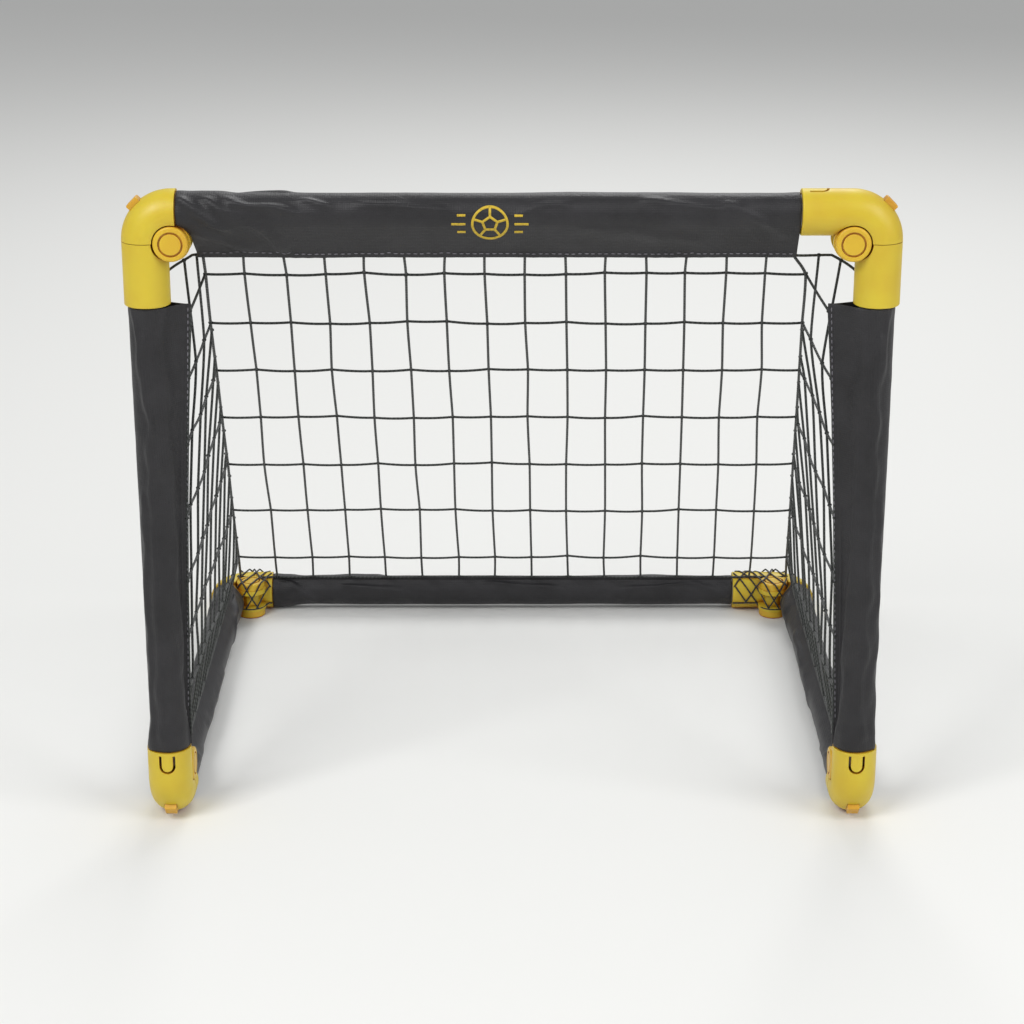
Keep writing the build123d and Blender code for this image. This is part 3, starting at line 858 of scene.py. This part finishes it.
def sideNetBuilder(hand, side):
    reach = uprightFlap(hand)
    sleeveLow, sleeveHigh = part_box(hand + "_upright_sleeve")
    corner = 1 if side > 0 else 0

    def uprightPoint(z):
        share = min(1.0, max(0.0, (z - sleeveLow.z) / (sleeveHigh.z - sleeveLow.z)))
        width = reach(share) * 0.97
        return Vector((side * (uprightCentre.x - width), uprightCentre.y + 0.12 * width + 0.5 * mm, z))

    def railPoint(y):
        return Vector((side * (sideCentre.x - 4.2 * mm), y, sideCentre.z + 16.5 * mm))

    def build(shape):
        far = [slopePoint(corner, t) for t in net["rows"]]
        near = [uprightPoint(z) for z in net["uprightRows"]]
        stops = [uprightCentre.y + 24 * mm + k * net["sidePitch"] for k in range(14)]
        stops = [y for y in stops if y < railTop.y - 8 * mm]
        # the top cord runs behind the cap and down the back of the elbow into the upright's sleeve
        start = slopePoint(corner, 0)
        behind = uprightCentre.y + fittingRadius + net["cord"] + 0.8 * mm
        route = [start, Vector((side * 207 * mm, behind, start.z - 2 * mm)),
                 Vector((side * 223 * mm, behind - 3.5 * mm, start.z - 12 * mm)),
                 Vector((side * 223.5 * mm, behind - 4.5 * mm, sleeveHigh.z - 4 * mm))]
        topCord = smoothLine(route)
        layCord(shape, topCord, net["cord"])
        knots = {}
        for j in range(len(near)):
            row = [wander(near[j], 0.2)]
            for k, y in enumerate(stops):
                if y < far[j].y - 4 * mm:
                    knots[j, k] = wander(near[j].lerp(far[j], (y - near[j].y) / (far[j].y - near[j].y)))
                    row.append(knots[j, k])
            row.append(far[j])
            if j == len(near) - 1:
                # the lowest row stops where it meets the side rail
                row = [point for point in row if point.z > railPoint(0).z + 6 * mm or point is row[0]]
            layCord(shape, smoothLine(row), net["cord"])
            for point in row:
                tieKnot(shape, point)
        for k, y in enumerate(stops):
            t = (y - flapFoot.y) / (railTop.y - flapFoot.y)
            head = topCord[(8, 4)[k]] if k < 2 else wander(slopePoint(corner, t), 0.3)
            column = [head] + [knots[j, k] for j in range(len(near)) if (j, k) in knots]
            column.append(wander(railPoint(y), 0.3))
            layCord(shape, smoothLine(column), net["cord"])
            tieKnot(shape, column[0])
            tieKnot(shape, column[-1], 0.9)
        edge = [uprightPoint(z) for z in net["edgeHeights"]]
        layCord(shape, smoothLine(edge), net["edgeCord"])
        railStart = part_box(hand + "_side_sleeve")[0].y + 4 * mm
        foot = [edge[-1]] + [railPoint(y) for y in [railStart] + stops]
        layCord(shape, smoothLine(foot), net["edgeCord"])
    return build


for hand, side in hands:
    sideNet = pieceFromMesh(hand + "Net", sideNetBuilder(hand, side), netCord)
    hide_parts(hand + "_net")
    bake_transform(sideNet)
print("net done")


# coil springs under the lock buttons
coil = {"wire": 0.38 * mm, "radius": 2.6 * mm, "turns": 5, "length": 9.2 * mm}
buttonWay = {
    "top_left": Vector((-1, 0, 1)), "top_right": Vector((1, 0, 1)),
    "rear_left": Vector((-1, 1, 0)), "rear_right": Vector((1, 1, 0)),
    "foot_left": Vector((0, -1, -1)), "foot_right": Vector((0, -1, -1)),
}
for place, way in buttonWay.items():
    springNode = place + "_lock_spring"
    bpy.ops.mesh.primitive_circle_add(vertices=8, radius=coil["wire"], location=(coil["radius"], 0, 0),
                                      rotation=(math.pi / 2, 0, 0))
    spring = bpy.context.object
    spring.name = place + "LockSpring"
    bpy.ops.object.transform_apply(location=True, rotation=True, scale=True)
    applyModifier(spring, "SCREW", {"angle": 2 * math.pi, "screw_offset": coil["length"] / coil["turns"],
                                    "iterations": coil["turns"], "steps": 20, "render_steps": 20,
                                    "use_smooth_shade": True, "use_merge_vertices": False})
    selectOnly(spring)
    bpy.ops.object.mode_set(mode="EDIT")
    bpy.ops.mesh.select_all(action="SELECT")
    bpy.ops.mesh.remove_doubles(threshold=0.01 * mm)
    bpy.ops.mesh.select_all(action="DESELECT")
    bpy.ops.mesh.select_non_manifold()
    bpy.ops.mesh.edge_face_add()
    bpy.ops.mesh.select_all(action="SELECT")
    bpy.ops.mesh.normals_make_consistent(inside=False)
    bpy.ops.object.mode_set(mode="OBJECT")
    spring.data.transform(Matrix.Translation((0, 0, -coil["length"] / 2)))
    spring.data.transform(way.normalized().to_track_quat("Z", "X").to_matrix().to_4x4())
    spring.data.transform(Matrix.Translation(middle(springNode)))
    spring.data.materials.append(springSteel)
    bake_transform(spring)
    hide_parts(springNode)
print("springs done")

low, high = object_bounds()
